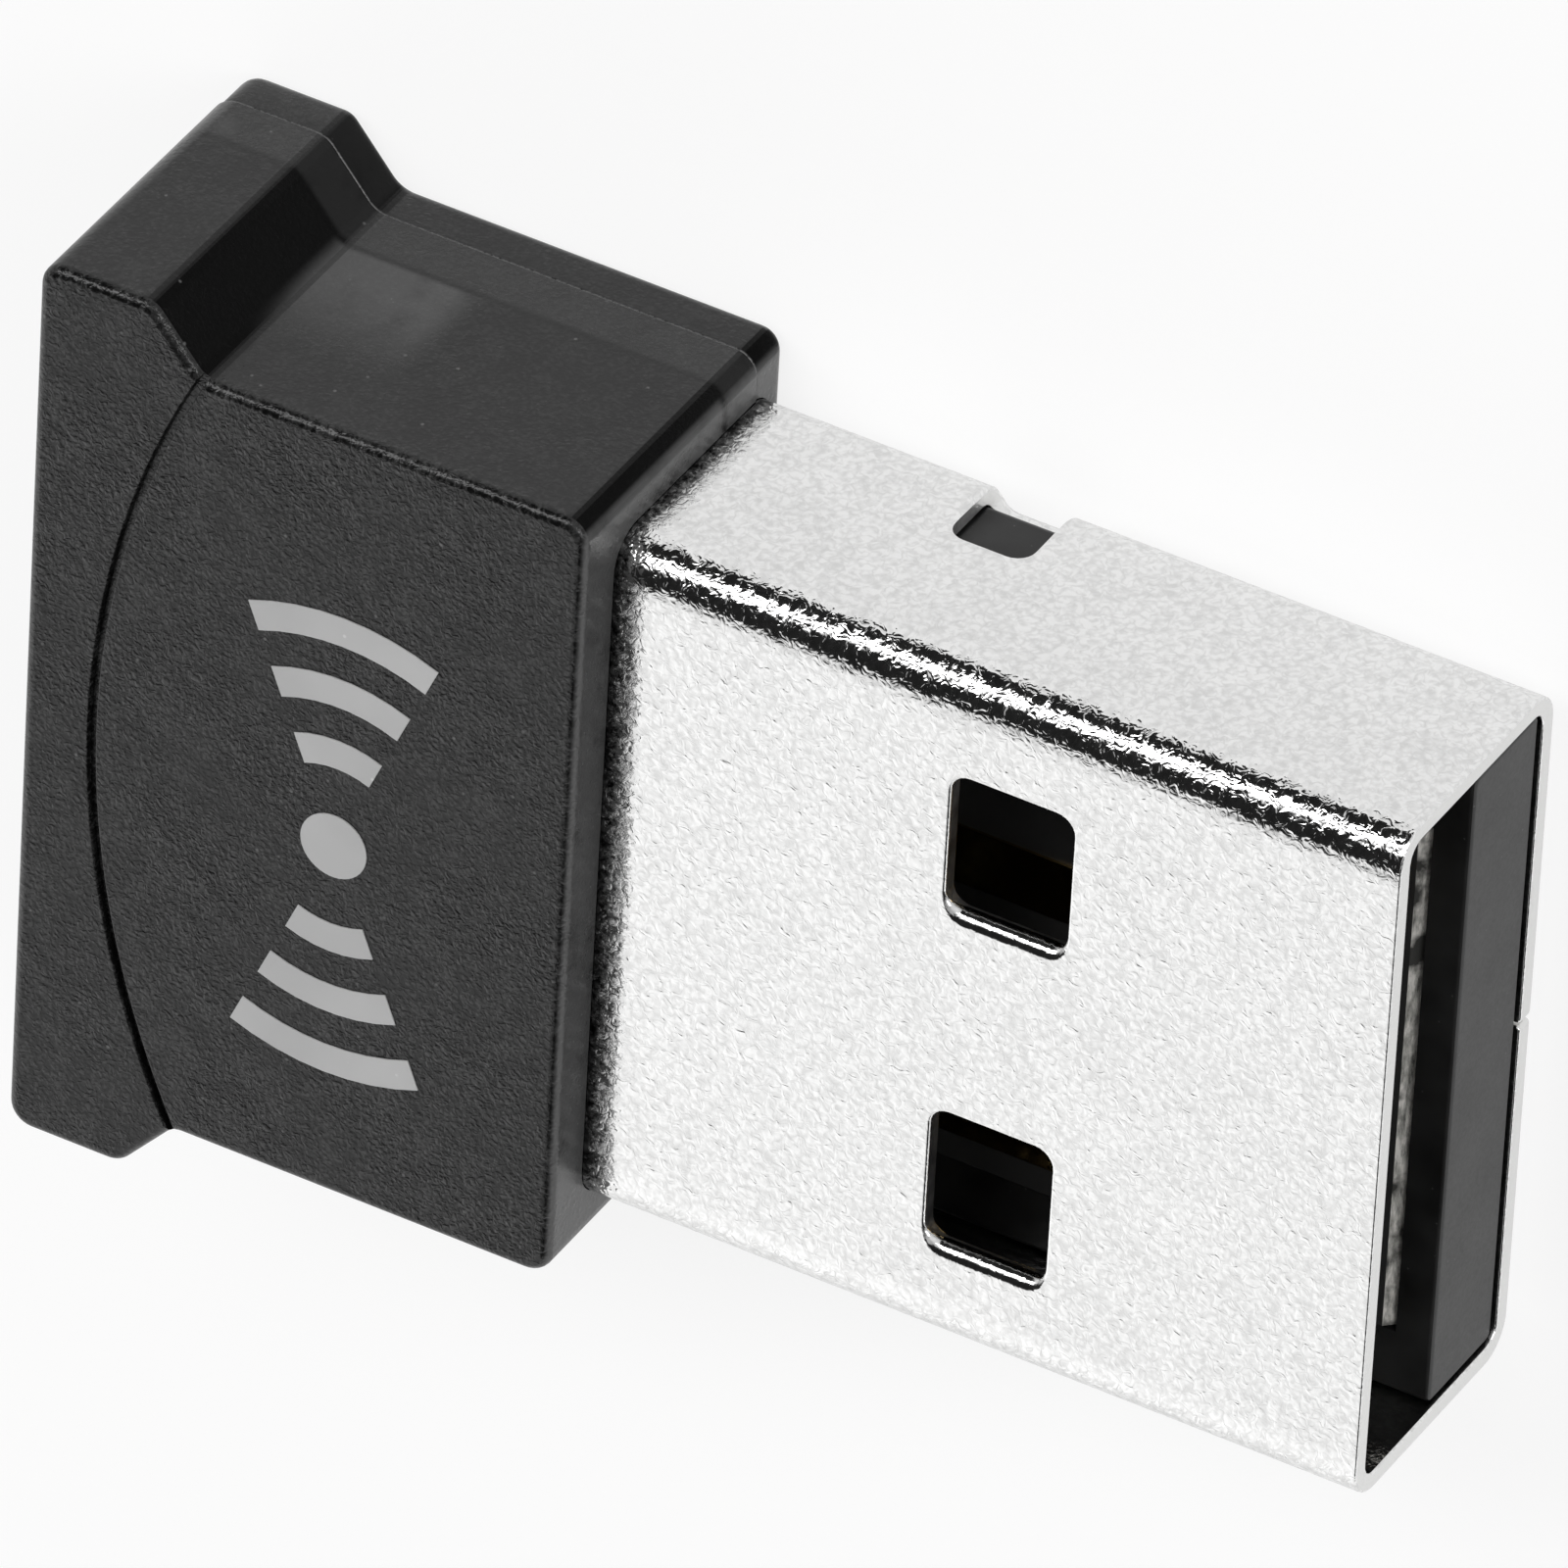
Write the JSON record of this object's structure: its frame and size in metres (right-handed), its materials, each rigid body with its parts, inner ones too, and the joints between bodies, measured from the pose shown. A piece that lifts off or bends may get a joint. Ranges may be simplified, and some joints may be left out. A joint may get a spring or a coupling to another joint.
{
  "type": "usb bluetooth adapter",
  "caption": "USB-A plug with a smoky plastic cap that widens into a finger grip, for short-range radio.",
  "frame": {"origin": "middle of the bounding box, on the plane of the back cover's outer face", "axes": "+X out of the plug's mouth, +Y across the part, +Z out of the printed face"},
  "size_m": [0.022, 0.0156, 0.0058],
  "materials": {
    "nickel_plated_steel": "satin, finely grained",
    "black_insert": "satin moulded",
    "solder_mask": "smooth lacquer",
    "gold_contact": "polished",
    "chip_package": "matt moulded",
    "crystal_can": "satin",
    "ferrite": "matt sintered",
    "ceramic": "matt fired",
    "resistor_body": "glazed",
    "lamp_resin": "clear resin on white",
    "copper_trace": "under lacquer",
    "solder": "bright",
    "smoky_plastic": "fine moulded texture, slightly see-through",
    "pale_ink": "matt pad print"
  },
  "bodies": {
    "root": {"antenna": "copper_trace", "back_cover": "smoky_plastic", "board_carrier": "black_insert", "capacitor_1": "ceramic", "capacitor_2": "ceramic", "capacitor_3": "ceramic", "capacitor_4": "ceramic", "capacitor_5": "ceramic", "capacitor_6": "ceramic", "circuit_board": "solder_mask", "crystal": "crystal_can", "data_minus_finger": "gold_contact", "data_plus_finger": "gold_contact", "ferrite_bead": "ferrite", "front_housing": "smoky_plastic", "ground_finger": "gold_contact", "left_solder_joint": "solder", "matching_coil": "ceramic", "memory_chip": "chip_package", "plug_shell": "nickel_plated_steel", "power_inductor": "ferrite", "printed_mark": "pale_ink", "radio_chip": "chip_package", "resistor_1": "resistor_body", "resistor_2": "resistor_body", "resistor_3": "resistor_body", "resistor_4": "resistor_body", "right_solder_joint": "solder", "status_lamp": "lamp_resin", "surge_protector": "chip_package", "vbus_finger": "gold_contact"}
  },
  "joints": []
}
